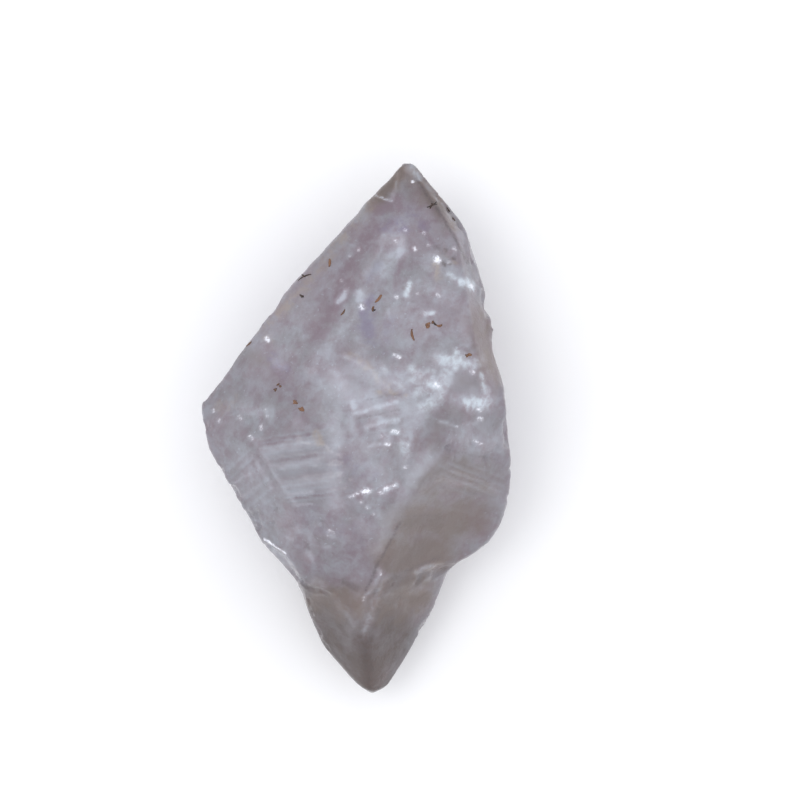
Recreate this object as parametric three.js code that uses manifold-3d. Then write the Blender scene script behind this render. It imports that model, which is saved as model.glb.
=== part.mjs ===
// A rough amethyst point, snapped off the bed it grew on, lying on its flattest side.
// Millimetres, +Z up, +Y from the broken root to the tip, +X to the right of the side that shows best.
// The origin lies under the middle of the stone, on the surface that it rests on.
// The stone is one solid: a head bounded by flat growth faces, a tapering broken root,
// growth steps on the faces, and shallow shell-shaped scars where splinters came away.

import * as THREE from "three";
import { mergeVertices } from "three/addons/utils/BufferGeometryUtils.js";
import Module from "manifold-3d";

const wasm = await Module();
wasm.setup();

// Driving dimensions
const LENGTH = 59.7; // broken root to tip
const LEFT = -17.15; // left shoulder
const RIGHT = 17.15; // right shoulder
const BLOCK = 160; // edge of the blocks that the flat faces are cut with
const HEART = new THREE.Vector3(0, 0, 9); // a point deep inside the head
const ROOT_HEART = new THREE.Vector3(2, -19, 8); // a point deep inside the root

// Corners where growth faces meet
const corner = {
  tipLeft: [5.0, LENGTH / 2, 10],
  tipRight: [6.2, LENGTH / 2, 10],
  leftBulge: [-10.1, 12.7, 12],
  leftShoulder: [LEFT, 3.3, 11.4],
  leftFlank: [-16.3, -1.6, 12.2],
  ridgeTop: [0.9, 16.8, 14.6],
  ridgeFoot: [-5.1, 7.3, 16.7],
  stairLeft: [-11.4, -1.7, 16.3],
  stairRight: [-5.3, -0.4, 19.2],
  stairHeel: [-1.3, -6.6, 19.25],
  stairToe: [-7.2, -7.9, 16.6],
  brow: [-2, 0, 19.7],
  crest: [8, -3, 20.1],
  bevelTop: [8.9, -3.6, 19.4],
  rightShoulder: [17, -5.5, 11],
  rightTop: [11.2, 20.9, 13.3],
  rightBrow: [13.7, 6.5, 18.2],
  veeLeft: [-2.6, -17.2, 13.7],
  vee: [0.9, -22.5, 12.4],
  veeRight: [2.1, -17.8, 14.3],
};

// The outline seen from above, round the head and round the root
const headOutline = [
  [5.0, LENGTH / 2],
  [6.2, LENGTH / 2],
  [11.4, 23.6],
  [12.2, 22.3],
  [14.2, 15.6],
  [16.3, 4.8],
  [RIGHT, -4.6],
  [16.9, -6.2],
  [15.8, -10.1],
  [14.4, -12.4],
  [13.3, -13.6],
  [11.0, -15.0],
  [2.1, -18.0],
  [-6.3, -17.2],
  [-10.3, -12.5],
  [-16.3, -1.9],
  [LEFT, 2.2],
  [LEFT, 3.3],
  [-10.5, 13.1],
];
const rootOutline = [
  [10.4, -11],
  [10.4, -15.2],
  [9.2, -19.2],
  [6.2, -24.6],
  [3.9, -28.7],
  [1.7, -LENGTH / 2],
  [-0.1, -28.6],
  [-3.8, -24.3],
  [-5.9, -19.3],
  [-6.4, -16.2],
  [-6.2, -11],
];

const vector = (p) => new THREE.Vector3(...p);

// Geometry as a solid: only positions are kept, so that shared corners merge
function toSolid(geometry) {
  const bare = geometry.clone();
  bare.deleteAttribute("normal");
  bare.deleteAttribute("uv");
  const merged = mergeVertices(bare, 1e-4);
  return new wasm.Manifold(
    new wasm.Mesh({
      numProp: 3,
      vertProperties: new Float32Array(merged.attributes.position.array),
      triVerts: new Uint32Array(merged.index.array),
    }),
  );
}

// A solid back to geometry with flat faces
function toGeometry(solid) {
  const mesh = solid.getMesh();
  const geometry = new THREE.BufferGeometry();
  geometry.setAttribute("position", new THREE.BufferAttribute(mesh.vertProperties, 3));
  geometry.setIndex(new THREE.BufferAttribute(mesh.triVerts, 1));
  const flat = geometry.toNonIndexed();
  flat.computeVertexNormals();
  return flat;
}

// The outward direction of the flat face through three points
function outwardOf([p, q, r], heart) {
  const start = vector(p);
  const outward = vector(q).sub(start).cross(vector(r).sub(start)).normalize();
  if (heart.clone().sub(start).dot(outward) > 0) outward.negate();
  return outward;
}

// Cuts away what lies beyond the flat face through three points, on the far side from the heart
function cutFace(solid, face, heart) {
  const outward = outwardOf(face, heart);
  const block = new THREE.BoxGeometry(BLOCK, BLOCK, BLOCK);
  block.translate(0, 0, BLOCK / 2);
  block.applyQuaternion(new THREE.Quaternion().setFromUnitVectors(new THREE.Vector3(0, 0, 1), outward));
  block.translate(...face[0]);
  return solid.subtract(toSolid(block));
}

// The upright face under one side of the outline
function upright([x1, y1], [x2, y2]) {
  return [
    [x1, y1, 0],
    [x2, y2, 0],
    [x1, y1, 1],
  ];
}

function uprights(outline) {
  return outline.map((p, i) => upright(p, outline[(i + 1) % outline.length]));
}

function cutFaces(faces, heart) {
  const rawBlock = toSolid(new THREE.BoxGeometry(BLOCK / 2, BLOCK / 2, BLOCK / 2));
  return faces.reduce((solid, face) => cutFace(solid, face, heart), rawBlock);
}

const c = corner;
const face = {
  rest: [[0, 0, 0], [1, 0, 0], [0, 1, 0]],
  upperLeft: [c.tipLeft, c.leftBulge, c.ridgeTop],
  lowerLeft: [c.leftBulge, c.leftShoulder, c.ridgeFoot],
  frontTop: [c.tipLeft, c.ridgeTop, [11.2, 20.9, 13.4]],
  front: [c.ridgeTop, c.ridgeFoot, [8, -1.7, 20.2]],
  brow: [c.brow, c.stairHeel, c.crest],
  stairs: [c.stairRight, c.stairHeel, c.stairToe],
  leftFlank: [c.leftFlank, c.stairLeft, c.stairToe],
  lowerLeftFront: [c.stairHeel, c.stairToe, c.vee],
  tongue: [c.stairHeel, [8, -5.1, 19.9], c.vee],
  bevel: [[5.6, -4.6, 20.1], [0.2, -18, 14.35], [4.4, -11.9, 16.6]],
  brokenRight: [c.bevelTop, c.veeRight, c.rightShoulder],
  striatedRight: [[8.9, -3.2, 19.6], c.rightShoulder, c.rightBrow],
  rightEdge: [c.tipRight, c.rightTop, [12.2, 22.3, 10.6]],
  rightSide: [c.rightTop, c.rightBrow, [14.4, 15.6, 10.8]],
};

// Faces of the underside: a fresh break and the lower growth faces
const underside = [
  [c.tipLeft, c.leftBulge, [-4.5, 7, 0]],
  [c.leftBulge, c.leftShoulder, [-11.5, -1, 0]],
  [[-16.3, -1.9, 9], [-10.3, -12.5, 7], [-9, -4.5, 0]],
  [c.tipRight, [12.2, 22.3, 9], [3, 16, 0]],
  [[14.2, 15.6, 9.5], [17, -1, 9.5], [11, 4, 0]],
  [[RIGHT, -4.6, 9], [14.4, -12.4, 6.5], [10, -8, 0]],
  [[-6.3, -17.2, 4], [11.7, -14.6, 4], [0, -12.5, 0]],
];

function head() {
  return cutFaces([...Object.values(face), ...uprights(headOutline), ...underside], HEART);
}

function root() {
  const faces = [
    face.rest,
    face.tongue,
    face.bevel,
    face.lowerLeftFront,
    [c.veeLeft, c.vee, [-3.8, -24.3, 6.8]],
    [c.vee, c.veeRight, [8.3, -19.1, 6.8]],
    [[-4, -13, 0], [-6.4, -16.2, 4], [-1, -28.5, 4.2]],
    [[-6, -12.5, 0], [8, -12.5, 0], [1, -29, 4.2]],
    [[8, -13, 0], [10.4, -15.2, 3.5], [3, -28.7, 4.2]],
  ];
  return cutFaces([...faces, ...uprights(rootOutline)], ROOT_HEART);
}

// Growth steps: a flight of shallow treads, one below the other, cut into the face under them.
// "from" and "to" are the ends of the highest step, "below" a point of the face under the flight.
function cutSteps(solid, { from, to, below, rise, treads }) {
  const along = vector(to).sub(vector(from));
  const length = along.length();
  along.normalize();
  const down = vector(below).sub(vector(from));
  down.addScaledVector(along, -down.dot(along)).normalize();
  const outward = along.clone().cross(down);
  const profile = new THREE.Shape();
  profile.moveTo(0, 1);
  let edge = 0;
  for (const tread of treads) {
    profile.lineTo(edge, -rise * tread);
    edge += tread;
    profile.lineTo(edge, 0);
  }
  profile.lineTo(edge, 1);
  const flight = new THREE.ExtrudeGeometry(profile, { depth: length, bevelEnabled: false });
  flight.applyMatrix4(new THREE.Matrix4().makeBasis(down, outward, along).setPosition(...from));
  return solid.subtract(toSolid(flight));
}

const flights = [
  // level steps on the little face under the left shoulder
  {
    from: [-1.8, -1.2, 19.9],
    to: [-12.4, -2.4, 15.9],
    below: [-1.3, -6.6, 19.25],
    rise: 0.2,
    treads: [1.0, 0.6, 0.9, 1.2, 0.6, 0.9, 0.8],
  },
  // fainter steps that climb across the left flank
  {
    from: [-10.6, -2.2, 16.7],
    to: [-16, -6.7, 9.8],
    below: [-7.2, -7.9, 16.6],
    rise: 0.11,
    treads: [0.9, 0.6, 0.8, 0.5, 1.0, 0.7, 0.6, 0.8, 0.6, 0.9],
  },
  // faint steps beside the crest, falling to the right
  {
    from: [16.9, -2.2, 12.1],
    to: [8.6, 0.2, 20.9],
    below: [13.5, -5, 14.6],
    rise: 0.11,
    treads: [0.8, 0.5, 0.9, 0.6],
  },
];

// A shell-shaped scar: a ball pressed into the stone by its depth, from the side it points to
function cutScar(solid, { at, towards, radius, depth }) {
  const outward = vector(towards).normalize();
  const ball = new THREE.IcosahedronGeometry(radius, Math.round(8 + radius / 2));
  const centre = vector(at).addScaledVector(outward, radius - depth);
  ball.translate(centre.x, centre.y, centre.z);
  return solid.subtract(toSolid(ball));
}

const scars = [
  // the broken right side is one wide shallow shell
  { at: [10.5, -9.5, 13], towards: [0.534, -0.541, 0.65], radius: 42, depth: 0.6 },
  // the chipped ledge on the left, above the root
  { at: [-8.5, -15, 12], towards: [-0.77, -0.63, 0.1], radius: 6, depth: 1.3 },
  // a round pit low on the front face
  { at: [12, 5.2, 18.4], towards: [0.1, 0.25, 0.95], radius: 4, depth: 0.35 },
  // bites along the right edge
  { at: [13.1, 20, 10.3], towards: [1, 0.2, 0.3], radius: 3.5, depth: 0.35 },
  { at: [14.4, 14.5, 10.3], towards: [1, 0.15, 0.5], radius: 3, depth: 0.45 },
  { at: [15.6, 8.6, 10.5], towards: [1, 0.2, 0.15], radius: 7, depth: 0.6 },
  { at: [16.7, 0.7, 10.6], towards: [1, 0, 0.5], radius: 4, depth: 0.3 },
  { at: [17, -3.1, 10.4], towards: [1, 0, -0.2], radius: 3.5, depth: 0.3 },
];

const whole = head().add(root());
const stepped = flights.reduce(cutSteps, whole);
const stone = scars.reduce(cutScar, stepped);

const amethyst = new THREE.Mesh(
  toGeometry(stone),
  new THREE.MeshStandardMaterial({ color: 0xa6a0ae, roughness: 0.25, metalness: 0 }),
);
amethyst.name = "amethyst_point";

const part = new THREE.Group();
part.add(amethyst);

export default part;
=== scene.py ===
import math

import bmesh
import bpy
import numpy as np
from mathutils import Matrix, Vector, noise
from mathutils.bvhtree import BVHTree
from mathutils.kdtree import KDTree


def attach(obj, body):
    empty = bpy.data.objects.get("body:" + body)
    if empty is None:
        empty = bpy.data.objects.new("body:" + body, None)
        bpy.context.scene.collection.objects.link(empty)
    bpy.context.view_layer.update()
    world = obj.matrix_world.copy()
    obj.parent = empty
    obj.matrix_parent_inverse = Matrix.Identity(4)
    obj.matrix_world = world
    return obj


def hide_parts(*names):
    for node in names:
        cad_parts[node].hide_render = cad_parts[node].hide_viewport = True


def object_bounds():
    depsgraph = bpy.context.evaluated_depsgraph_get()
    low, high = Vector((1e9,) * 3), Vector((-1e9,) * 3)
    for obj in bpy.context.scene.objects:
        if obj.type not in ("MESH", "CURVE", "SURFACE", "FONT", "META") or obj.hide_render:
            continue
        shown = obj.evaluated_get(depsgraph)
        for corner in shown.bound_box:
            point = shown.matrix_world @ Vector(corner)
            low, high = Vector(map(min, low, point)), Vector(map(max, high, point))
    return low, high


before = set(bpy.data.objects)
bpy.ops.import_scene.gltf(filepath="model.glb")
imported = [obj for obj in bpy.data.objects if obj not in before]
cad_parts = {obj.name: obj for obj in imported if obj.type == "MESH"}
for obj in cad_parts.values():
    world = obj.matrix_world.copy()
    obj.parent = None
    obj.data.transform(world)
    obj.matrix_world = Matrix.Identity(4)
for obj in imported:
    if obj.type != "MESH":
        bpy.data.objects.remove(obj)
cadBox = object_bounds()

mm = 0.001
print("amethyst: frame loaded")


def hexToLinear(text):
    channels = [int(text[i:i + 2], 16) / 255 for i in (1, 3, 5)]
    return [c / 12.92 if c <= 0.04045 else ((c + 0.055) / 1.055) ** 2.4 for c in channels] + [1.0]


def addNode(tree, kind, settings, inputs):
    node = tree.nodes.new(kind)
    for name, value in settings.items():
        setattr(node, name, value)
    for name, value in inputs.items():
        if isinstance(value, bpy.types.NodeSocket):
            tree.links.new(value, node.inputs[name])
        else:
            node.inputs[name].default_value = value
    return node


# Camera: straight down on the side that shows best
cameraSetup = {
    "centreMm": (4.83, 3.5, 11.0),  # what the middle of the picture looks at
    "heightMm": 350.0,              # from there up to the lens
    "frameMm": 88.9,                # width of the picture at that height
    "sensorMm": 36.0,
    "nearestMm": 10.0,              # nothing closer than this is seen
}

cameraData = bpy.data.cameras.new("camera")
cameraData.sensor_width = cameraSetup["sensorMm"]
cameraData.lens = cameraSetup["sensorMm"] * cameraSetup["heightMm"] / cameraSetup["frameMm"]
cameraData.clip_start = cameraSetup["nearestMm"] * mm
camera = bpy.data.objects.new("camera", cameraData)
bpy.context.collection.objects.link(camera)
camera.location = (Vector(cameraSetup["centreMm"]) + Vector((0, 0, cameraSetup["heightMm"]))) * mm
bpy.context.scene.camera = camera

# Light: a pale room does most of it, a softbox high on the left puts a gleam on worn edges
lightSetup = {
    "softbox": {"sizeMm": 320, "placeMm": (-300, 66, 585), "watts": 0.5, "colour": "#fffdfa"},
    "roomColour": "#f6f7fa",
    "roomStrength": 1.2,
}


def addSoftbox(setup):
    data = bpy.data.lights.new("softbox", "AREA")
    data.shape = "SQUARE"
    data.size = setup["sizeMm"] * mm
    data.energy = setup["watts"]
    data.color = hexToLinear(setup["colour"])[:3]
    lamp = bpy.data.objects.new("softbox", data)
    bpy.context.collection.objects.link(lamp)
    lamp.location = Vector(setup["placeMm"]) * mm
    lamp.rotation_euler = (-lamp.location).to_track_quat("-Z", "Y").to_euler()


addSoftbox(lightSetup["softbox"])
world = bpy.data.worlds.new("room")
world.use_nodes = True
world.node_tree.nodes["Background"].inputs["Color"].default_value = hexToLinear(lightSetup["roomColour"])
world.node_tree.nodes["Background"].inputs["Strength"].default_value = lightSetup["roomStrength"]
bpy.context.scene.world = world
bpy.context.scene.view_settings.view_transform = "Standard"

# Matt white card, uncoated: an even white that shows no gleam, just under the stone
floorSetup = {"sizeMm": 3000, "gapMm": 0.02, "colour": "#f8f8f9", "roughness": 0.9, "specular": 0.2}


def makeFloor(setup):
    half = setup["sizeMm"] * mm / 2
    corners = [(-half, -half, 0), (half, -half, 0), (half, half, 0), (-half, half, 0)]
    mesh = bpy.data.meshes.new("floor")
    mesh.from_pydata(corners, [], [(0, 1, 2, 3)])
    floor = bpy.data.objects.new("floor", mesh)
    bpy.context.collection.objects.link(floor)
    floor.location.z = cadBox[0][2] - setup["gapMm"] * mm
    card = bpy.data.materials.new("matt_white_card")
    card.use_nodes = True
    shader = card.node_tree.nodes["Principled BSDF"]
    shader.inputs["Base Color"].default_value = hexToLinear(setup["colour"])
    shader.inputs["Roughness"].default_value = setup["roughness"]
    shader.inputs["Specular IOR Level"].default_value = setup["specular"]
    mesh.materials.append(card)
    return floor


floor = makeFloor(floorSetup)
print("amethyst: camera, light and floor ready")

# The stone's surface: the solid's flat faces, worn soft at the edges, waved and chipped, all in mm
reliefSetup = {
    "weld": 0.0005,         # corners of the solid closer than this become one
    "meshStep": 0.235,
    "restBand": 0.4,        # over this height wear and relief set in, so the resting face stays flat
    "sharpDegrees": 28,     # an edge that turns by more than this is a sharp one
    "edgeStep": 0.15,       # between the points that mark such an edge
    "uprightTilt": 0.2,     # a face whose normal rises less than this is one of the outline's walls
    "fullTilt": 0.3,        # and one that rises this much takes lines and strokes in full
    # passes that rub it round: over the whole stone, then where a ridge is nearer than the outline
    "outlineWear": 3, "ridgeWear": 12,
    # places that are rubbed far more: path, half width and passes
    "rubbed": [
        ([(12.4, 6.0), (8.4, -3.0)], 2.2, 70),
        ([(-7.6, -17.9), (9.6, -17.3)], 1.6, 70),
        ([(1.0, -20.0), (1.4, -29.0)], 7.0, 60),
    ],
    "rubStrength": 1.6,     # along the middle of such a place, cut off at 1
    "waveDepth": 0.07, "waveSize": 6.0,        # slow swells of the growth faces, out as well as in
    "dimpleDepth": 0.03, "dimpleSize": 1.4,    # shallow dimples
    "edgeFill": 0.13,       # gives back what the wear took off the outline
    # and more of it here: path, half width and mm
    "filled": [
        ([(5.4, 29.9), (2.4, 26.4)], 1.5, 0.22),
        ([(1.6, 24.4), (-7.6, 15.4)], 1.2, 0.4),
        ([(16.2, -7.6), (14.8, -11.6)], 1.2, 0.4),
    ],
    "chipDepth": 0.5, "chipSize": 2.1, "chipReach": 1.0,  # splinters lost along the outline
    "chipLeast": 0.12,      # noise above this chips
    "chipGain": 2.2,        # how fast a chip deepens past that
    "chipSpares": 0.9,      # the share of a chip that a patch of growth lines is spared
}

# Patches of parallel growth lines: corners, which way they run, then in mm their spacing, depth and start,
# how uneven they are and how strongly they show in the milk
lineSetup = {
    "stairs": {
        "corners": [(-10.9, -0.9), (-7.6, -8.0), (-2.2, -7.3), (-2.6, 0.4)],
        "runsDegrees": 9, "spacing": 2.1, "depth": 0.06, "start": 0.42, "uneven": 0.05, "show": 0.7,
    },
    "stairsFine": {
        "corners": [(-10.9, -0.9), (-7.6, -8.0), (-2.2, -7.3), (-3.4, 0.5), (-8.2, 0.0)],
        "runsDegrees": 8, "spacing": 0.62, "depth": 0.025, "start": 0.0, "uneven": 0.25, "show": 1.0,
    },
    "leftFlank": {
        "corners": [(-11.2, -1.4), (-15.2, -3.4), (-12.0, -9.2), (-8.0, -7.8)],
        "runsDegrees": 40, "spacing": 0.95, "depth": 0.03, "start": 0.0, "uneven": 0.3, "show": 0.7,
    },
    "rightFlank": {
        "corners": [(8.6, -2.9), (9.6, -7.2), (16.4, -7.4), (17.0, -4.0)],
        "runsDegrees": -24, "spacing": 0.85, "depth": 0.016, "start": 0.0, "uneven": 0.6, "show": 0.6,
    },
    "brokenRight": {
        "corners": [(7.4, -5.4), (5.6, -9.4), (14.8, -11.6), (16.6, -7.0)],
        "runsDegrees": -14, "spacing": 2.1, "depth": 0.04, "start": 0.0, "uneven": 0.3, "show": 0.4,
    },
}

# What all growth lines share
lineShape = {
    "bendMm": 0.1, "bendSize": 3.5,         # how far a line wanders, and over what length in mm
    "gapStep": 0.6, "drawStep": 0.7,        # how far apart in the noise two neighbouring lines are
    "strength": 0.7, "swing": 0.7, "least": 0.1,    # of one line, and how much it differs from the next
    "rise": 0.25,           # a quick rise and a long fall, as on a stair seen from above
    "rimMm": 0.6, "rimShare": 0.3,          # a patch fades out over this, and has this share on its rim
}

# Where each field is read in the noise, so that no two are alike
noiseShifts = {
    "wave": 0.0, "dimple": 11.0, "chip": 23.0, "bend": 3.1, "gap": 5.3, "draw": 7.7, "drift": (31.0, 47.0),
}


def fieldNoise(points, size, octaves, shift):
    # smooth random values of about -1 to 1, the same on each run
    fade, finer = 0.9, 2.1      # how fast the octaves die away, and how much finer each one is
    offset = Vector((shift, shift * 0.7, -shift))
    places = (points / size).tolist()
    return np.array([noise.fractal(Vector(place) + offset, fade, finer, octaves) for place in places])


def solidShape(name, weld):
    shape = bmesh.new()
    shape.from_mesh(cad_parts[name].data)
    bmesh.ops.remove_doubles(shape, verts=shape.verts, dist=weld * mm)
    return shape


def sharpEdges(shape, setup, onOutline):
    # a tree of points along the sharp edges of the outline, or along the others
    points = []
    for edge in shape.edges:
        if len(edge.link_faces) < 2 or edge.calc_face_angle(0) < math.radians(setup["sharpDegrees"]):
            continue
        upright = min(abs(face.normal.z) for face in edge.link_faces) < setup["uprightTilt"]
        if upright == onOutline:
            a, b = (v.co / mm for v in edge.verts)
            count = max(1, round((b - a).length / setup["edgeStep"]))
            points += [a.lerp(b, i / count) for i in range(count + 1)]
    tree = KDTree(len(points))
    for i, point in enumerate(points):
        tree.insert(point, i)
    tree.balance()
    return tree


def fineMesh(shape, step):
    rough = bpy.data.meshes.new("rough")
    shape.to_mesh(rough)
    holder = bpy.data.objects.new("rough", rough)
    bpy.context.collection.objects.link(holder)
    remesh = holder.modifiers.new("remesh", "REMESH")
    remesh.mode = "VOXEL"
    remesh.voxel_size = step * mm
    fine = bpy.data.meshes.new_from_object(holder.evaluated_get(bpy.context.evaluated_depsgraph_get()))
    bpy.data.objects.remove(holder)
    bpy.data.meshes.remove(rough)
    return fine


def readVectors(items, name):
    flat = np.empty(len(items) * 3)
    items.foreach_get(name, flat)
    return flat.reshape(-1, 3)


def distanceTo(tree, points):
    return np.array([tree.find(Vector(p))[2] for p in points.tolist()])


def rubRound(mesh, points, share, passes):
    # each pass moves a point half way to the middle of its neighbours, times its share
    ends = np.empty(len(mesh.edges) * 2, dtype=np.int32)
    mesh.edges.foreach_get("vertices", ends)
    a, b = ends.reshape(-1, 2).T
    starts, stops = np.concatenate([a, b]), np.concatenate([b, a])
    neighbours = np.bincount(starts, minlength=len(points))
    for _ in range(passes):
        sums = [np.bincount(starts, weights=points[stops, k], minlength=len(points)) for k in range(3)]
        points = points + 0.5 * share[:, None] * (np.stack(sums, 1) / neighbours[:, None] - points)
    return points


def levelShare(rise):
    # 0 on an upright wall, 1 on a face level enough to take lines and strokes in full
    return np.clip(rise / reliefSetup["fullTilt"], 0, 1)


def patchShare(points, setup):
    # 1 inside a patch of growth lines, fading to 0 past its rim; its corners run anticlockwise
    corners = np.array(setup["corners"])
    inside = np.full(len(points), np.inf)
    for a, b in zip(corners, np.roll(corners, -1, axis=0)):
        inward = np.array([a[1] - b[1], b[0] - a[0]]) / np.hypot(*(b - a))
        inside = np.minimum(inside, (points[:, :2] - a) @ inward)
    return np.clip(inside / lineShape["rimMm"] + lineShape["rimShare"], 0, 1)


def growthLines(points, setup):
    # 1 on the crest of a line and 0 between two, each line as strong as its own random draw
    angle = math.radians(setup["runsDegrees"])
    bend = lineShape["bendMm"] * fieldNoise(points, lineShape["bendSize"], 2, noiseShifts["bend"])
    across = points[:, :2] @ np.array([-math.sin(angle), math.cos(angle)]) + bend
    across = (across - setup["start"]) / setup["spacing"]
    gap = fieldNoise(np.outer(across, (lineShape["gapStep"], 0, 0)), 1.0, 1, noiseShifts["gap"])
    across = across + setup["uneven"] * gap
    draw = fieldNoise(np.outer(np.floor(across), (lineShape["drawStep"], 0, 0)), 1.0, 1, noiseShifts["draw"])
    strength = np.clip(lineShape["strength"] + lineShape["swing"] * draw, lineShape["least"], 1)
    phase = across % 1
    wave = np.minimum(phase / lineShape["rise"], (1 - phase) / (1 - lineShape["rise"]))
    return patchShare(points, setup) * strength * wave


def strokeShare(points, path, halfWidth, strength):
    # how strongly each point of the surface lies under a soft stroke
    fallOff = 0.7       # leaves half the strength at the half width
    nearest = np.full(len(points), np.inf)
    for a, b in zip(np.array(path[:-1]), np.array(path[1:])):
        along = np.clip(((points - a) @ (b - a)) / ((b - a) @ (b - a)), 0, 1)
        nearest = np.minimum(nearest, np.hypot(*(points - a - along[:, None] * (b - a)).T))
    return strength * np.exp(-fallOff * (nearest / halfWidth) ** 2)


def carveCrystal(setup):
    shape = solidShape("amethyst_point", setup["weld"])
    mesh = fineMesh(shape, setup["meshStep"])
    points = readVectors(mesh.vertices, "co") / mm
    toOutline = distanceTo(sharpEdges(shape, setup, True), points)
    toRidge = distanceTo(sharpEdges(shape, setup, False), points)
    shape.free()
    lifted = np.clip(points[:, 2] / setup["restBand"], 0, 1)
    inner = np.clip(toOutline - toRidge, 0, 1)      # 1 where a ridge is nearer than the outline
    points = rubRound(mesh, points, lifted, setup["outlineWear"])
    points = rubRound(mesh, points, lifted * inner, setup["ridgeWear"])
    for path, halfWidth, passes in setup["rubbed"]:
        share = np.clip(strokeShare(points[:, :2], path, halfWidth, setup["rubStrength"]), 0, 1)
        points = rubRound(mesh, points, lifted * share, passes)
    mesh.vertices.foreach_set("co", (points * mm).ravel())
    mesh.update()
    normals = readVectors(mesh.vertices, "normal")
    lined = np.max([patchShare(points, s) for s in lineSetup.values()], axis=0)
    nearOutline = np.clip(1 - toOutline / setup["chipReach"], 0, 1)
    depth = setup["waveDepth"] * fieldNoise(points, setup["waveSize"], 2, noiseShifts["wave"])
    depth += setup["dimpleDepth"] * fieldNoise(points, setup["dimpleSize"], 2, noiseShifts["dimple"])
    depth -= setup["edgeFill"] * nearOutline
    for path, halfWidth, raised in setup["filled"]:
        depth -= strokeShare(points[:, :2], path, halfWidth, raised)
    chip = fieldNoise(points, setup["chipSize"], 2, noiseShifts["chip"]) - setup["chipLeast"]
    chip = np.clip(chip * setup["chipGain"], 0, 1)
    depth += setup["chipDepth"] * nearOutline * chip * (1 - setup["chipSpares"] * lined)
    lines = sum(s["depth"] * (0.5 - growthLines(points, s)) for s in lineSetup.values())
    depth += lines * levelShare(normals[:, 2])
    moved = (points - normals * (depth * lifted)[:, None]) * mm
    mesh.vertices.foreach_set("co", np.clip(moved, *cadBox).ravel())
    mesh.polygons.foreach_set("use_smooth", [True] * len(mesh.polygons))
    mesh.update()
    return mesh


crystalMesh = carveCrystal(reliefSetup)
crystal = bpy.data.objects.new("amethyst_crystal", crystalMesh)
bpy.context.collection.objects.link(crystal)
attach(crystal, "root")
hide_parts("amethyst_point")
print("amethyst: crystal carved,", len(crystalMesh.polygons), "faces")

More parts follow.
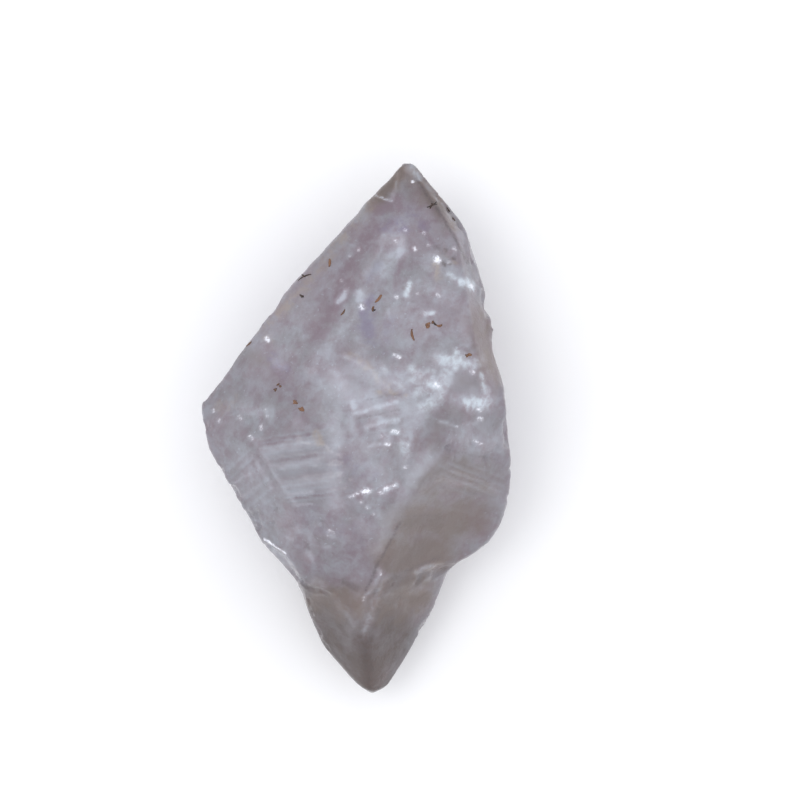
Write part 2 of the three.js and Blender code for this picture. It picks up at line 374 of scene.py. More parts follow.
# What lies in the stone, as soft strokes seen from above: path, half width and strength, in mm
inclusionSetup = {
    # even haze where the stone is less cloudy
    "haze": [
        ([(-8.6, -2.6), (-4.8, -2.2)], 2.0, 1.0),
        ([(-7.0, -5.6), (-3.8, -5.2)], 2.2, 1.0),
        ([(11.3, 5.6), (12.7, 5.2)], 1.2, 1.0),
        ([(-13.6, -3.8), (-11.2, -6.6)], 1.5, 0.45),
        ([(13.8, 1.4), (15.2, -2.0)], 1.1, 0.7),
    ],
    # even milk, cloudy all through
    "mist": [
        ([(-2.0, 4.8), (-0.6, 4.2), (1.2, 3.8)], 2.0, 0.7),
        ([(0.2, 6.6), (2.8, 5.4), (5.4, 5.6)], 1.4, 0.62),
        ([(2.2, 2.8), (4.2, 2.4), (5.8, 3.8)], 1.2, 0.54),
        ([(-0.6, 1.6), (-0.2, 0.2)], 0.9, 0.5),
        ([(-2.0, 2.6), (-2.3, -2.4)], 1.0, 0.6),
        ([(-2.2, -2.4), (-2.1, -8.0)], 0.9, 0.48),
        ([(0.6, -1.6), (2.6, -4.6)], 2.0, 0.44),
        ([(7.9, -2.6), (6.0, -5.3)], 0.9, 0.6),
        ([(6.0, -5.3), (4.3, -8.6), (2.4, -12.8)], 0.8, 0.44),
    ],
    # milk white veils
    "veil": [
        # down the ridge from the tip
        ([(4.4, 21.4), (4.4, 20.4), (3.6, 18.8), (2.9, 17.6)], 1.1, 0.5),
        ([(2.6, 17.4), (1.6, 15.8)], 1.3, 0.3),
        ([(4.9, 21.2), (4.8, 19.6)], 0.65, 0.8),
        ([(3.2, 21.6), (2.2, 19.4), (0.8, 16.8)], 0.5, 0.4),
        ([(0.7, 15.2), (-0.2, 13.2), (-1.9, 10.7), (-3.2, 8.9), (-4.9, 6.8)], 0.75, 0.42),
        ([(1.0, 14.4), (-0.9, 11.4)], 0.3, 0.45),
        ([(-0.6, 12.6), (-3.6, 8.2)], 1.6, 0.35),
        ([(-1.9, 14.3), (-1.1, 15.4)], 0.35, 0.8),
        ([(0.6, 15.2), (0.6, 14.2)], 0.55, 0.8),
        # a crack by the tip, then light lines along its edges that are painted highlight
        ([(2.2, 26.2), (3.9, 25.6)], 0.11, 0.9),
        ([(4.6, 28.6), (4.0, 25.6)], 0.2, 0.4),
        ([(6.2, 29.2), (7.0, 28.3)], 0.5, 0.6),
        ([(7.2, 28.2), (9.9, 24.6), (11.4, 21.6)], 0.25, 0.4),
        # upper left
        ([(-6.4, 12.8), (-8.6, 9.0)], 2.8, 0.26),
        ([(-8.6, 7.9), (-8.2, 7.0)], 0.7, 0.45),
        # right of the ridge
        ([(3.7, 13.1), (3.5, 12.6)], 0.6, 0.5),
        ([(7.3, 19.0), (8.1, 19.6), (9.6, 19.3)], 0.5, 0.3),
        ([(8.2, 18.2), (10.2, 17.0)], 1.4, 0.42),
        ([(7.4, 16.2), (11.6, 14.4)], 1.6, 0.4),
        ([(4.2, 13.8), (9.0, 8.6)], 4.0, 0.34),
        ([(12.0, 13.2), (11.9, 9.8)], 0.95, 0.47),
        # round the ring and down from it
        ([(9.0, 8.1), (13.0, 7.7)], 1.2, 0.5),
        ([(8.8, 6.8), (12.4, 8.4)], 1.3, 0.3),
        ([(7.0, 5.6), (8.8, 5.2)], 1.1, 0.5),
        ([(9.5, 5.6), (8.8, 4.0), (7.0, 2.2), (5.8, 0.4), (5.4, -1.3)], 1.05, 0.48),
        ([(5.9, 2.2), (5.4, -1.0)], 1.1, 0.35),
        ([(11.4, 3.4), (14.2, 3.4)], 1.1, 0.5),
        ([(14.6, 6.6), (15.0, 5.0)], 0.5, 0.36),
        # the milky heart
        ([(0.0, 10.2), (0.8, 9.2)], 0.9, 0.36),
        ([(-3.6, 7.6), (-1.2, 5.4)], 0.5, 0.4),
        ([(-1.2, 8.4), (1.4, 6.8), (3.5, 4.7)], 0.3, 0.55),
        ([(-0.4, 3.3), (-0.3, 2.8)], 0.4, 0.9),
        ([(-0.1, 2.0), (2.2, 2.6), (4.4, 3.4)], 0.28, 0.95),
        ([(1.3, 0.6), (4.4, 1.4)], 0.32, 0.9),
        ([(1.5, -1.5), (3.6, -1.1)], 0.25, 0.7),
        ([(2.4, 1.2), (3.3, -0.5)], 0.75, 0.66),
        ([(-3.4, 1.6), (-2.8, 0.6)], 0.9, 0.35),
        # left corner and left flank
        ([(-12.4, 2.6), (-9.6, 2.2)], 0.8, 0.45),
        ([(-6.2, 1.0), (-5.0, 0.6)], 0.6, 0.3),
        ([(-11.4, -0.6), (-10.8, -1.2)], 0.6, 0.36),
        ([(-13.8, 1.6), (-11.8, -4.0), (-10.0, -7.0)], 1.7, 0.18),
        ([(-10.9, -3.4), (-9.2, -6.2)], 0.3, 0.4),
        ([(-10.4, -1.9), (-7.7, -6.5), (-6.4, -8.0)], 0.26, 0.4),
        ([(-13.4, -5.6), (-11.4, -4.4)], 0.22, 0.4),
        ([(-12.6, -7.2), (-10.6, -5.9)], 0.2, 0.35),
        # the stairs' treads
        ([(-9.8, -2.0), (-4.4, -1.1)], 0.55, 0.4),
        ([(-8.9, -3.75), (-4.1, -3.1)], 0.3, 0.4),
        ([(-8.2, -5.8), (-3.4, -5.2)], 0.55, 0.3),
        ([(-7.5, -6.8), (-4.8, -6.45)], 0.2, 0.5),
        ([(-6.9, -7.95), (-4.8, -7.85)], 0.14, 0.45),
        # lower front, down to the ledge
        ([(-9.3, -9.4), (-5.0, -11.2), (-1.0, -10.0)], 1.9, 0.2),
        ([(-3.0, -11.0), (-2.5, -11.4)], 0.4, 0.55),
        ([(-6.6, -10.4), (-6.2, -11.1)], 0.3, 0.4),
        ([(-4.6, -10.3), (-3.9, -10.0)], 0.3, 0.4),
        ([(-7.6, -11.6), (-7.1, -11.8)], 0.3, 0.4),
        ([(-3.6, -12.7), (-2.8, -12.6)], 0.25, 0.4),
        ([(-5.3, -13.3), (-5.0, -13.9)], 0.4, 0.5),
        ([(-10.2, -12.6), (-7.6, -14.2)], 0.5, 0.3),
        ([(0.8, -10.0), (2.0, -10.9)], 1.0, 0.35),
        ([(2.0, -8.0), (2.6, -9.2)], 0.8, 0.36),
        # right flank, with a crescent under the ring
        ([(11.4, -0.4), (15.6, -1.6)], 1.4, 0.42),
        ([(9.2, -5.2), (15.4, -6.6)], 0.35, 0.28),
        ([(10.4, -4.2), (15.2, -6.0)], 0.16, 0.3),
        ([(9.2, 1.2), (10.9, 0.65), (13.3, 1.05)], 0.25, 0.42),
        # in the root
        ([(2.6, -15.2), (2.0, -16.8), (0.9, -18.5)], 0.35, 0.4),
        ([(-4.6, -16.7), (-3.6, -17.0)], 0.45, 0.4),
        ([(5.4, -18.0), (7.6, -17.8)], 0.4, 0.35),
        ([(-2.4, -18.0), (-1.1, -20.2), (0.8, -22.5)], 0.5, 0.25),
        ([(3.2, -16.2), (2.4, -17.6), (1.6, -20.2), (0.9, -22.4)], 0.45, 0.42),
        ([(0.2, -18.4), (0.8, -20.4)], 1.0, 0.22),
        ([(6.6, -15.6), (9.0, -14.9)], 0.3, 0.5),
        ([(3.2, -18.4), (6.4, -20.0)], 1.0, 0.25),
    ],
    # silvery fractures that throw the light back
    "fracture": [
        # the ring round the hollow
        ([(9.5, 8.0), (10.9, 7.8), (12.8, 7.5)], 0.75, 0.75),
        ([(10.9, 8.6), (10.9, 7.2)], 0.5, 0.9),
        ([(9.9, 6.7), (9.6, 5.2), (8.9, 3.9), (7.2, 2.6)], 0.7, 0.55),
        ([(12.4, 3.3), (14.0, 3.1)], 0.7, 1.0),
        ([(13.7, 6.3), (14.4, 3.8)], 0.36, 0.7),
        # the cloud beside it
        ([(8.2, 5.3), (8.5, 5.0)], 0.6, 0.9),
        ([(6.0, 6.9), (7.0, 6.2)], 0.5, 0.66),
        ([(6.1, 5.8), (7.0, 5.3)], 0.5, 0.5),
        ([(6.5, 4.2), (7.6, 4.6)], 0.5, 0.55),
        ([(7.4, 6.2), (8.3, 6.6)], 0.5, 0.45),
        ([(4.2, 5.4), (5.1, 5.0)], 0.4, 0.45),
        ([(3.1, 7.0), (3.4, 6.6)], 0.35, 0.5),
        # elsewhere, from the tip down
        ([(11.7, 16.5), (12.8, 16.0)], 0.5, 1.0),
        ([(10.4, 17.3), (10.9, 16.9)], 0.35, 0.6),
        ([(5.85, 16.1), (5.65, 15.1)], 0.38, 1.0),
        ([(7.6, 13.0), (8.5, 13.1)], 0.26, 0.9),
        ([(4.2, 0.1), (4.6, 0.1)], 0.5, 0.6),
        ([(5.3, -1.3), (5.3, -2.4)], 0.6, 0.5),
        ([(0.7, -6.6), (1.4, -6.3)], 0.5, 0.5),
        ([(3.0, -6.3), (4.3, -5.75)], 0.4, 0.5),
    ],
    # small glints
    "glint": [
        # upper half
        ([(8.75, 19.0), (8.95, 18.85)], 0.32, 1.2),
        ([(6.15, 27.8), (6.35, 27.75)], 0.13, 1.0),
        ([(6.4, 20.3), (6.5, 20.1)], 0.2, 0.8),
        ([(7.35, 22.0), (7.5, 21.9)], 0.18, 0.7),
        ([(0.2, 20.1), (0.35, 20.1)], 0.17, 0.6),
        ([(5.3, 22.35), (5.45, 22.3)], 0.15, 0.7),
        ([(4.25, 21.1), (4.4, 20.9)], 0.17, 0.65),
        ([(10.15, 18.75), (10.25, 18.65)], 0.13, 0.8),
        ([(12.6, 16.15), (12.8, 16.05)], 0.18, 0.9),
        ([(8.9, 15.05), (9.1, 14.9)], 0.16, 0.65),
        ([(6.7, 15.2), (6.85, 15.15)], 0.13, 0.6),
        ([(-1.7, 16.75), (-1.6, 16.65)], 0.13, 0.5),
        ([(-0.8, 19.5), (-0.7, 19.4)], 0.12, 0.5),
        ([(7.9, 20.6), (8.1, 20.6)], 0.13, 0.6),
        ([(0.6, 13.75), (0.75, 13.5)], 0.22, 0.85),
        ([(4.4, 14.8), (4.5, 14.7)], 0.2, 0.8),
        ([(-9.85, 10.35), (-9.7, 10.2)], 0.25, 1.0),
        ([(4.2, 8.45), (4.8, 8.15)], 0.16, 0.85),
        ([(10.8, 20.2), (10.9, 20.0)], 0.2, 0.6),
        ([(8.7, 5.2), (8.9, 5.05)], 0.3, 0.9),
        ([(12.6, 6.6), (12.8, 6.5)], 0.2, 0.8),
        # the heart and the right flank
        ([(4.0, 0.15), (4.6, 0.1)], 0.18, 1.0),
        ([(3.3, -1.15), (3.6, -1.3)], 0.17, 0.85),
        ([(2.7, -0.45), (2.85, -0.5)], 0.14, 0.7),
        ([(5.7, -1.25), (5.8, -1.35)], 0.14, 0.6),
        ([(5.3, -3.8), (5.6, -3.75)], 0.15, 0.8),
        ([(13.3, 2.5), (13.7, 2.35)], 0.13, 0.9),
        ([(13.5, 1.5), (13.8, 1.4)], 0.2, 0.75),
        ([(10.9, 0.7), (11.0, 0.65)], 0.11, 0.7),
        ([(12.9, -1.0), (13.8, -1.35)], 0.15, 0.65),
        # the row over the lower front
        ([(-0.5, -7.0), (0.2, -6.75)], 0.18, 0.7),
        ([(0.8, -6.5), (1.35, -6.3)], 0.24, 1.1),
        ([(2.6, -6.6), (2.75, -6.55)], 0.18, 0.9),
        ([(3.3, -6.1), (3.5, -5.95)], 0.19, 0.95),
        ([(4.0, -5.8), (4.3, -5.7)], 0.16, 0.75),
        ([(0.6, -7.5), (0.7, -7.6)], 0.15, 0.6),
        ([(1.2, -8.1), (1.35, -8.3)], 0.15, 0.6),
        ([(1.9, -8.9), (2.0, -9.0)], 0.15, 0.5),
        # the left corner
        ([(-15.9, 2.5), (-15.8, 2.2)], 0.17, 0.55),
        ([(-15.2, 1.4), (-15.15, 1.1)], 0.14, 0.6),
        ([(-12.85, 1.65), (-12.7, 1.4)], 0.2, 0.6),
        ([(-11.6, -0.4), (-11.3, -0.8)], 0.16, 0.65),
        ([(-10.4, 0.7), (-10.35, 0.3)], 0.15, 0.7),
        ([(-9.9, 2.4), (-9.85, 2.3)], 0.14, 0.55),
        ([(-9.9, 1.75), (-9.7, 1.65)], 0.14, 0.5),
        # the lip of the chipped ledge
        ([(-10.2, -11.95), (-9.5, -12.35)], 0.12, 1.4),
        ([(-9.5, -12.4), (-7.8, -13.4)], 0.08, 1.4),
        # lower front and root
        ([(-2.9, -10.7), (-2.75, -10.8)], 0.14, 0.6),
        ([(-2.45, -10.95), (-2.35, -11.0)], 0.12, 0.5),
        ([(-3.1, -11.4), (-3.0, -11.45)], 0.12, 0.45),
        ([(2.65, -15.3), (2.7, -15.6)], 0.14, 0.6),
        ([(0.85, -18.3), (0.75, -18.6)], 0.14, 0.55),
    ],
    # clear smoky quartz
    "smoke": [
        # the tip
        ([(5.2, 29.0), (5.8, 26.9)], 1.4, 0.35),
        ([(4.2, 27.9), (2.6, 26.2)], 0.9, 0.45),
        ([(7.0, 28.0), (9.4, 24.6)], 0.9, 0.6),
        # the broken side, and the root, whose dark brown is partly painted shadow
        ([(4.6, -14.9), (7.5, -12.6)], 1.3, 0.35),
        ([(5.4, -10.1), (8.8, -9.9)], 0.7, 0.35),
        ([(-3.8, -20.0), (-1.4, -26.0)], 3.0, 0.8),
        ([(4.6, -19.5), (3.4, -25.0)], 3.0, 0.85),
        ([(1.0, -25.0), (1.4, -29.5)], 3.6, 1.0),
        ([(-1.4, -16.6), (0.2, -17.3)], 0.4, 0.6),
        ([(-5.6, -17.6), (-4.8, -20.5)], 0.8, 0.8),
        # specks beside the largest glint
        ([(9.8, 20.1), (9.9, 20.0)], 0.17, 0.7),
        ([(10.7, 19.2), (10.9, 19.1)], 0.2, 0.7),
        ([(9.55, 18.6), (9.75, 18.4)], 0.2, 0.8),
        ([(8.9, 20.2), (9.5, 19.8)], 0.35, 0.4),
        ([(10.3, 18.5), (10.4, 18.5)], 0.15, 0.6),
    ],
    # warm half clear quartz
    "tan": [
        # the tip and the upper edges
        ([(4.8, 28.7), (3.4, 27.2), (1.8, 25.6)], 1.1, 1.0),
        ([(5.6, 28.6), (7.4, 26.2)], 1.3, 0.6),
        ([(7.0, 28.4), (10.4, 23.0)], 1.1, 0.8),
        ([(13.2, 12.6), (15.0, 6.4)], 1.6, 0.8),
        ([(-12.6, 8.4), (-9.8, 7.8)], 1.3, 0.42),
        # the ring and the crest below it
        ([(11.8, 5.7), (12.4, 5.4)], 1.2, 0.3),
        ([(9.6, 2.3), (12.6, 2.0)], 0.8, 0.34),
        ([(9.2, 0.6), (8.4, -1.6)], 1.0, 0.4),
        ([(6.6, -0.6), (7.0, -3.0)], 0.5, 0.4),
        # the broken side
        ([(9.8, -3.0), (14.6, -4.2)], 0.9, 0.52),
        ([(8.6, -5.6), (13.6, -5.6)], 2.6, 0.7),
        ([(6.0, -10.0), (12.6, -9.4)], 2.6, 1.0),
        ([(4.6, -13.4), (9.0, -13.4)], 2.6, 1.1),
        # the root, browner and darker in part as painted shadow
        ([(3.2, -17.0), (7.6, -17.0)], 1.6, 0.8),
        ([(4.6, -18.4), (6.8, -18.8)], 1.8, 1.0),
        ([(-4.0, -18.6), (5.0, -19.4)], 2.0, 0.9),
    ],
    # mauve growth zones, and painted shade on the stairs' risers
    "mauve": [
        # from the tip down
        ([(2.6, 24.4), (0.8, 20.6), (-1.0, 17.2), (-2.7, 12.7), (-4.5, 9.7)], 0.85, 0.95),
        ([(6.6, 26.2), (8.3, 23.6)], 1.3, 0.75),
        ([(8.6, 26.0), (11.6, 20.6)], 0.6, 0.6),
        ([(3.2, 25.0), (5.0, 25.2)], 1.0, 0.8),
        ([(6.6, 21.8), (8.6, 20.6)], 0.8, 0.5),
        ([(5.0, 19.4), (4.4, 15.6)], 0.45, 0.8),
        # the right edge and under the ring
        ([(9.4, 13.8), (10.8, 13.0)], 0.8, 0.5),
        ([(13.2, 12.6), (15.0, 6.4)], 1.6, 1.0),
        ([(9.6, 2.2), (12.8, 1.8)], 0.8, 0.4),
        ([(8.9, 0.4), (8.2, -1.8)], 0.9, 0.4),
        # left
        ([(-8.7, 7.7), (-7.4, 5.0), (-6.4, 2.0)], 1.3, 0.5),
        ([(-15.2, 0.0), (-14.2, -2.6)], 0.7, 0.45),
        # lower front
        ([(-4.0, -14.6), (1.4, -13.0)], 3.0, 0.5),
        ([(-6.0, -8.8), (-1.0, -8.4)], 1.4, 0.4),
        # the stairs' risers: painted shade in a mauve tone, where the steps turn away from the light
        ([(-10.6, -1.3), (-5.1, -0.35)], 0.25, 0.9),
        ([(-8.2, -3.0), (-4.2, -2.45)], 0.4, 0.5),
        ([(-8.0, -5.2), (-3.6, -4.6)], 0.25, 0.35),
        ([(-7.1, -7.1), (-2.4, -6.7)], 0.34, 0.65),
    ],
    # violet growth zones
    "violet": [
        ([(1.5, 14.0), (0.9, 12.0), (1.4, 10.6)], 0.9, 0.9),
        ([(5.9, 24.6), (7.6, 22.6)], 1.0, 0.5),
        ([(3.4, 22.9), (5.2, 22.9)], 0.9, 0.75),
        ([(2.6, 18.6), (1.2, 16.8)], 0.6, 0.4),
        ([(4.0, 12.0), (3.0, 9.0)], 1.0, 0.4),
        ([(-5.6, 16.4), (-3.2, 19.0)], 1.2, 0.3),
        ([(-9.2, 8.2), (-8.0, 6.6)], 0.8, 0.6),
        ([(-1.0, -3.6), (1.6, -4.4)], 1.4, 0.35),
        ([(-5.4, -9.6), (0.6, -11.4)], 1.6, 0.3),
    ],
    # cream and olive tints
    "cream": [
        ([(1.4, 24.8), (-2.0, 20.6), (-5.6, 16.0), (-9.9, 11.8)], 0.7, 0.65),
        ([(-10.4, 11.2), (-9.5, 9.9)], 0.7, 0.5),
        ([(-0.8, 8.8), (1.0, 7.2), (3.4, 4.9)], 0.6, 0.5),
        ([(8.8, 18.2), (9.2, 17.0)], 0.5, 0.75),
        ([(9.7, 19.7), (10.9, 18.9)], 0.45, 0.7),
        ([(-4.2, -0.2), (-3.9, -1.2)], 0.45, 0.75),
        ([(2.4, 4.6), (5.4, 3.9)], 0.4, 0.6),
        ([(-15.0, 2.8), (-13.4, 3.4)], 0.9, 0.5),
        ([(8.2, 12.2), (7.2, 11.0)], 0.5, 0.4),
    ],
    # dark lines where the faces turn away
    "shade": [
        # the right edge below the tip and the borders of the broken side
        ([(6.6, 28.2), (7.7, 26.5), (9.2, 24.4), (10.95, 21.3), (12.3, 18.6)], 0.17, 0.85),
        ([(8.5, -3.0), (5.6, -8.75), (4.6, -10.4)], 0.22, 0.22),
        ([(4.8, -10.0), (2.2, -14.9), (1.0, -17.6)], 0.18, 0.75),
        ([(3.4, -16.6), (5.2, -15.6), (7.4, -14.8), (9.4, -14.0)], 0.32, 0.5),
        # gaps between the streaks in the heart
        ([(0.8, 3.4), (3.2, 4.0), (5.2, 4.2)], 0.15, 0.42),
        ([(0.4, 1.5), (2.4, 1.9), (4.8, 2.5)], 0.15, 0.42),
        ([(1.4, -0.4), (3.9, 0.2)], 0.13, 0.36),
        # a crack beside the ring
        ([(6.2, 4.8), (7.4, 5.1), (8.8, 5.6)], 0.12, 0.28),
        # lines across the broken side and the right flank
        ([(5.3, -9.2), (9.2, -9.2)], 0.22, 0.35),
        ([(9.2, -6.0), (15.4, -7.4)], 0.3, 0.25),
        ([(9.9, -1.9), (12.6, -2.5), (15.6, -3.1)], 0.16, 0.45),
        ([(9.8, -2.7), (12.7, -4.0)], 0.12, 0.4),
        # marks on the lower left
        ([(-11.4, -9.1), (-10.9, -9.4)], 0.35, 0.5),
        ([(-8.6, -8.5), (-8.3, -8.8)], 0.35, 0.4),
        ([(-3.9, -9.6), (-3.5, -9.8)], 0.3, 0.4),
        ([(-7.2, -10.2), (-6.6, -10.0)], 0.4, 0.4),
        ([(-8.4, -10.6), (-8.0, -11.2)], 0.4, 0.35),
        ([(-4.6, -11.3), (-4.1, -11.9)], 0.35, 0.45),
        ([(-13.6, -4.8), (-11.2, -3.2)], 0.2, 0.25),
        ([(-5.6, -12.3), (-5.4, -12.6)], 0.35, 0.5),
    ],
}

# How the strokes are laid on the stone
paintSetup = {
    "driftSize": 1.4,       # their edges wander, over lengths of this many mm
    "driftMost": 0.45, "driftShare": 0.7,   # by so many mm, or this share of the half width if it is less
    "underneath": (-0.8, 0.9),              # the underside wears the same strokes, mirrored and scaled
    "throughout": ("smoke", "tan"),         # clear zones go right through the stone, walls and all
}


def paintInclusions(mesh, groups, setup):
    points = readVectors(mesh.vertices, "co") / mm
    normals = readVectors(mesh.vertices, "normal")
    drift = np.stack([fieldNoise(points, setup["driftSize"], 2, s) for s in noiseShifts["drift"]], 1)
    mirrored = np.where(normals[:, 2:] < 0, setup["underneath"], (1, 1)) * points[:, :2]
    level = levelShare(np.abs(normals[:, 2]))
    for name, strokes in groups.items():
        through = name in setup["throughout"]
        flat = points[:, :2] if through else mirrored
        share = np.zeros(len(points))
        for path, halfWidth, strength in strokes:
            drawn = flat + drift * min(setup["driftMost"], halfWidth * setup["driftShare"])
            share = np.maximum(share, strokeShare(drawn, path, halfWidth, strength))
        share = share if through else share * level
        mesh.attributes.new(name, "FLOAT", "POINT").data.foreach_set("value", share.astype(np.float32))
    lines = np.max([s["show"] * growthLines(points, s) for s in lineSetup.values()], axis=0)
    lines *= levelShare(normals[:, 2])
    mesh.attributes.new("lines", "FLOAT", "POINT").data.foreach_set("value", lines.astype(np.float32))


paintInclusions(crystalMesh, inclusionSetup, paintSetup)
print("amethyst: veils and zones placed")

# Amethyst is violet quartz, here milky with many small fractures, its faces as they grew or broke:
# to the eye a wet gloss over a cloudy, half clear inside
amethystLook = {
    "grey": "#98949b", "lilac": "#a0939d", "veil": "#bfc7d3", "mauve": "#8c7482", "violet": "#8b80a2",
    "smoke": "#573c30", "tan": "#846f65", "cream": "#b5a598", "shade": "#5f5256", "fracture": "#d3e0ea",
    "glint": "#f4f6ff", "haze": "#a8a5ae",
    "ior": 1.544, "roughness": 0.3, "coat": 0.5, "coatRoughness": 0.12, "coatIor": 1.5,
    "clearBody": 0.5, "clearSmoke": 0.7, "clearVeil": 0.1,   # share of light that passes the surface
    "veiled": ("mist", "veil", "fracture", "glint"),         # the groups where only clearVeil passes
    "absorb": "#cdb9d2", "absorbPerMetre": 50.0,
    # noise that breaks up the colours: size in mm, detail, and the noise at which it begins and is full
    "patterns": {
        "cloud": (5.0, 4.0, 0.36, 0.64),
        "milk": (2.3, 6.0, 0.4, 0.7),
        "wisp": (0.8, 4.0, 0.4, 0.72),
        "mottle": (1.1, 5.0, 0.38, 0.66),
        "bruise": (1.9, 4.0, 0.4, 0.68),
        "fleck": (0.65, 4.0, 0.36, 0.66),
        "grain": (0.3, 2.0, 0.36, 0.64),
        "pit": (0.5, 2.0, 0.6, 0.72),
        "speck": (0.4, 1.0, 0.68, 0.76),
    },
    "noiseRoughness": 0.6, "noiseDistortion": 0.4,
    "ridgeDegrees": -25, "wispStretch": (1, 3, 2),  # wisps run along the ridge, three times as long as wide
    # each layer: colour, where it lies, the pattern that frays it, from least to most, and how much it covers
    "layers": [
        ("mauve", None, "bruise", 0.0, 1.0, 0.5),
        ("veil", None, "milk", 0.0, 1.0, 0.34),
        ("veil", None, "wisp", 0.0, 1.0, 0.18),
        ("veil", None, "fleck", 0.0, 1.0, 0.14),
        ("veil", None, "speck", 0.0, 1.0, 0.5),
        ("haze", "haze", "milk", 0.8, 0.3, 0.8),
        ("mauve", "mauve", "mottle", 0.5, 0.8, 0.75),
        ("violet", "violet", "mottle", 0.5, 0.8, 0.6),
        ("smoke", "smoke", "milk", 0.8, 0.4, 0.92),
        ("tan", "tan", "milk", 0.7, 0.6, 0.85),
        ("shade", None, "pit", 0.0, 1.0, 0.12),
        ("veil", "lines", "milk", 0.8, 0.3, 0.5),
        ("veil", "mist", "milk", 0.85, 0.25, 0.6),
        ("veil", "veil", "mottle", 0.5, 0.8, 0.68),
        ("cream", "cream", "mottle", 0.4, 0.9, 0.6),
        ("shade", "shade", "grain", 0.6, 0.6, 0.65),
        ("fracture", "fracture", "milk", 0.5, 0.4, 0.62),
        ("fracture", "fracture", "fleck", 0.3, 0.8, 0.6),
        ("glint", "glint", "grain", 0.35, 0.85, 1.0),
    ],
    "fray": (0.06, 0.95),   # a layer with a place of its own begins and is full at these shares
    "bumpStrength": 0.3, "bumpMm": 0.08, "bumpGrain": 0.3,  # the bump is the mottle and some of the grain
}


def amethystMaterial(look):
    material = bpy.data.materials.new("amethyst_milky_as_grown")
    material.use_nodes = True
    tree = material.node_tree
    shader = tree.nodes["Principled BSDF"]
    place = addNode(tree, "ShaderNodeTexCoord", {}, {}).outputs["Object"]
    inMm = addNode(
        tree, "ShaderNodeVectorMath", {"operation": "SCALE"}, {0: place, "Scale": 1 / mm}
    ).outputs[0]
    turn = (0, 0, math.radians(look["ridgeDegrees"]))
    alongRidge = addNode(
        tree, "ShaderNodeMapping", {"vector_type": "TEXTURE"},
        {"Vector": inMm, "Rotation": turn, "Scale": look["wispStretch"]},
    ).outputs[0]
    shares = {
        name: addNode(tree, "ShaderNodeAttribute", {"attribute_name": name}, {}).outputs["Fac"]
        for name in [*inclusionSetup, "lines"]
    }
    patterns = {}
    for name, (size, detail, low, high) in look["patterns"].items():
        texture = addNode(
            tree, "ShaderNodeTexNoise", {},
            {
                "Vector": alongRidge if name == "wisp" else inMm, "Scale": 1 / size, "Detail": detail,
                "Roughness": look["noiseRoughness"], "Distortion": look["noiseDistortion"],
            },
        )
        patterns[name] = addNode(
            tree, "ShaderNodeMapRange", {"interpolation_type": "SMOOTHSTEP"},
            {"Value": texture.outputs["Fac"], "From Min": low, "From Max": high},
        ).outputs[0]

    # the ground is grey with lilac clouds, and each layer goes over what is there
    colour = addNode(
        tree, "ShaderNodeMix", {"data_type": "RGBA"},
        {0: patterns["cloud"], 6: hexToLinear(look["grey"]), 7: hexToLinear(look["lilac"])},
    ).outputs[2]
    for name, zone, pattern, least, more, cover in look["layers"]:
        share = addNode(
            tree, "ShaderNodeMath", {"operation": "MULTIPLY_ADD"}, {0: patterns[pattern], 1: more, 2: least}
        ).outputs[0]
        fray = (0.0, 1.0)
        if zone:
            share = addNode(
                tree, "ShaderNodeMath", {"operation": "MULTIPLY"}, {0: share, 1: shares[zone]}
            ).outputs[0]
            fray = look["fray"]
        share = addNode(
            tree, "ShaderNodeMapRange", {"interpolation_type": "SMOOTHSTEP"},
            {"Value": share, "From Min": fray[0], "From Max": fray[1], "To Max": cover},
        ).outputs[0]
        colour = addNode(
            tree, "ShaderNodeMix", {"data_type": "RGBA"}, {0: share, 6: colour, 7: hexToLinear(look[name])}
        ).outputs[2]
    tree.links.new(colour, shader.inputs["Base Color"])

    clear = addNode(
        tree, "ShaderNodeMapRange", {},
        {"Value": shares["smoke"], "To Min": look["clearBody"], "To Max": look["clearSmoke"]},
    ).outputs[0]
    for zone in look["veiled"]:
        clear = addNode(
            tree, "ShaderNodeMix", {"data_type": "FLOAT", "clamp_factor": True},
            {0: shares[zone], 2: clear, 3: look["clearVeil"]},
        ).outputs[0]
    tree.links.new(clear, shader.inputs["Transmission Weight"])

    height = addNode(
        tree, "ShaderNodeMath", {"operation": "MULTIPLY_ADD"},
        {0: patterns["grain"], 1: look["bumpGrain"], 2: patterns["mottle"]},
    ).outputs[0]
    bump = addNode(
        tree, "ShaderNodeBump", {},
        {"Height": height, "Strength": look["bumpStrength"], "Distance": look["bumpMm"] * mm},
    ).outputs["Normal"]
    tree.links.new(bump, shader.inputs["Normal"])
    shader.inputs["IOR"].default_value = look["ior"]
    shader.inputs["Roughness"].default_value = look["roughness"]
    shader.inputs["Coat Weight"].default_value = look["coat"]
    shader.inputs["Coat Roughness"].default_value = look["coatRoughness"]
    shader.inputs["Coat IOR"].default_value = look["coatIor"]
    inside = addNode(
        tree, "ShaderNodeVolumeAbsorption", {},
        {"Color": hexToLinear(look["absorb"]), "Density": look["absorbPerMetre"]},
    )
    output = tree.nodes["Material Output"]
    tree.links.new(inside.outputs[0], output.inputs["Volume"])
    return material


crystalMesh.materials.clear()
crystalMesh.materials.append(amethystMaterial(amethystLook))
print("amethyst: crystal dressed")

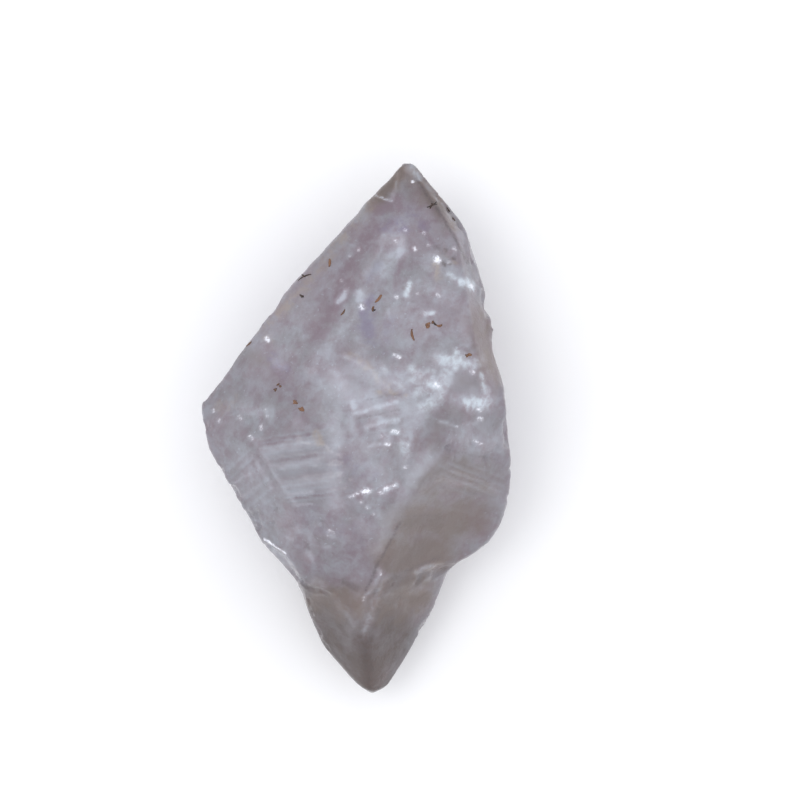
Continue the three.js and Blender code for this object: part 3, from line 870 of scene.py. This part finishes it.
# Goethite needles in the surface: centre, length, heading, bend and how rusty, in mm and degrees
needleSetup = {
    "widthMm": 0.4,
    "darkShare": 0.6,       # a black one's width, as a share of a rusty one's
    "sunkShare": 0.35,      # of its own radius
    "rings": 9, "sides": 6,
    "fromMm": 60,           # the height from which they are dropped on the surface
    "needles": [
        (8.4, 25.1, 1.3, 31, 10, 0.0), (8.6, 25.25, 0.7, -6, 5, 0.0), (8.25, 24.95, 0.55, 72, 5, 0.0),
        (10.2, 24.7, 0.6, -50, 5, 0.1), (10.8, 23.6, 0.5, -50, 5, 0.2), (-2.95, 18.7, 0.9, 88, 4, 0.9),
        (-5.8, 17.2, 1.7, 25, -10, 0.1), (-5.9, 17.3, 0.6, -40, 5, 0.0),
        (-6.05, 15.0, 0.55, -30, 5, 0.15), (-5.95, 14.95, 0.3, 50, 0, 0.2), (-1.4, 13.1, 0.8, 55, 8, 0.4),
        (2.5, 14.6, 1.1, 50, 6, 0.95), (2.6, 14.75, 0.6, 70, 0, 0.6), (1.85, 13.5, 0.6, 80, -8, 0.6),
        (1.95, 13.35, 0.45, 20, 0, 0.1), (6.15, 10.6, 1.3, -78, 10, 0.7), (6.3, 10.2, 0.4, -60, 0, 0.1),
        (8.65, 11.8, 0.75, -45, 20, 0.2), (9.15, 11.6, 0.65, 5, 20, 0.85), (8.4, 12.0, 0.35, 70, 0, 0.5),
        (7.95, 11.85, 0.4, 15, 0, 0.9), (7.9, 11.5, 0.45, 40, 5, 1.0), (7.75, 11.7, 0.35, 95, 0, 0.8),
        (12.3, 8.4, 0.75, 5, 5, 0.4), (12.2, 8.35, 0.5, 55, 0, 0.6), (12.45, 8.45, 0.45, -35, 0, 0.8),
        (-8.55, 5.2, 0.36, 30, 0, 0.45), (-8.8, 4.6, 0.4, 65, 0, 0.35), (-8.9, 4.65, 0.3, -10, 0, 0.4),
        (-8.3, 5.0, 0.25, -20, 0, 0.6), (-6.6, 3.25, 0.6, -40, 10, 0.9), (-6.65, 3.25, 0.45, 40, 0, 0.9),
        (-5.9, 2.5, 0.7, -22, -10, 0.9), (-5.95, 2.5, 0.4, 60, 0, 0.1), (-5.85, 2.5, 0.5, 90, 0, 0.9),
        (-5.9, 2.5, 0.5, 30, 0, 0.9), (-11.9, 9.7, 0.8, 40, 5, 0.5),
    ],
}


def makeNeedles(setup, surface):
    shape = bmesh.new()
    rusty = shape.verts.layers.float.new("rust")
    sides = setup["sides"]
    turns = [k * 2 * math.pi / sides for k in range(sides)]
    for x, y, length, heading, bend, rust in setup["needles"]:
        width = setup["darkShare"] + (1 - setup["darkShare"]) * rust
        loops = []
        for i in range(setup["rings"]):
            t = i / (setup["rings"] - 1) - 0.5      # along the needle, 0 in its middle
            angle = math.radians(heading + bend * t * 2)
            flat = (x + length * t * math.cos(angle), y + length * t * math.sin(angle))
            above = Vector((*flat, setup["fromMm"]))
            place, normal = surface.ray_cast(above * mm, Vector((0, 0, -1)))[:2]
            if place is None:
                continue
            taper = 0.5 + 0.5 * math.cos(t * math.pi)   # full in the middle, nothing at the ends
            radius = setup["widthMm"] / 2 * width * taper * mm
            side = Vector((-math.sin(angle), math.cos(angle), 0))
            side = (side - normal * side.dot(normal)).normalized()
            middle = place - normal * setup["sunkShare"] * radius
            spokes = [math.cos(turn) * side + math.sin(turn) * normal for turn in turns]
            loop = [shape.verts.new(middle + radius * spoke) for spoke in spokes]
            for vertex in loop:
                vertex[rusty] = rust
            loops.append(loop)
        for low, high in zip(loops[:-1], loops[1:]):
            for k in range(sides):
                after = (k + 1) % sides
                shape.faces.new([low[k], low[after], high[after], high[k]])
        if len(loops) > 1:
            shape.faces.new(loops[0][::-1])
            shape.faces.new(loops[-1])
    bmesh.ops.recalc_face_normals(shape, faces=shape.faces)
    mesh = bpy.data.meshes.new("goethite_needles")
    shape.to_mesh(mesh)
    shape.free()
    mesh.polygons.foreach_set("use_smooth", [True] * len(mesh.polygons))
    return mesh


# Goethite is iron rust grown as slivers: dull, from near black to orange brown
goethiteLook = {"dark": "#231816", "rust": "#7b573f", "roughness": 0.5, "patchMm": 0.5, "patchDetail": 2.0}


def goethiteMaterial(look):
    material = bpy.data.materials.new("goethite_as_grown")
    material.use_nodes = True
    tree = material.node_tree
    shader = tree.nodes["Principled BSDF"]
    place = addNode(tree, "ShaderNodeTexCoord", {}, {}).outputs["Object"]
    patchy = addNode(
        tree, "ShaderNodeTexNoise", {},
        {"Vector": place, "Scale": 1 / (look["patchMm"] * mm), "Detail": look["patchDetail"]},
    ).outputs["Fac"]
    rust = addNode(tree, "ShaderNodeAttribute", {"attribute_name": "rust"}, {}).outputs["Fac"]
    uneven = addNode(tree, "ShaderNodeMath", {"operation": "ADD"}, {0: patchy, 1: -0.5}).outputs[0]
    share = addNode(
        tree, "ShaderNodeMath", {"operation": "ADD", "use_clamp": True}, {0: uneven, 1: rust}
    ).outputs[0]
    colour = addNode(
        tree, "ShaderNodeMix", {"data_type": "RGBA"},
        {0: share, 6: hexToLinear(look["dark"]), 7: hexToLinear(look["rust"])},
    ).outputs[2]
    tree.links.new(colour, shader.inputs["Base Color"])
    shader.inputs["Roughness"].default_value = look["roughness"]
    return material


surface = BVHTree.FromObject(crystal, bpy.context.evaluated_depsgraph_get())
needles = bpy.data.objects.new("goethite_needles", makeNeedles(needleSetup, surface))
bpy.context.collection.objects.link(needles)
needles.data.materials.append(goethiteMaterial(goethiteLook))
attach(needles, "root")
print("amethyst: needles placed")

bpy.context.view_layer.update()
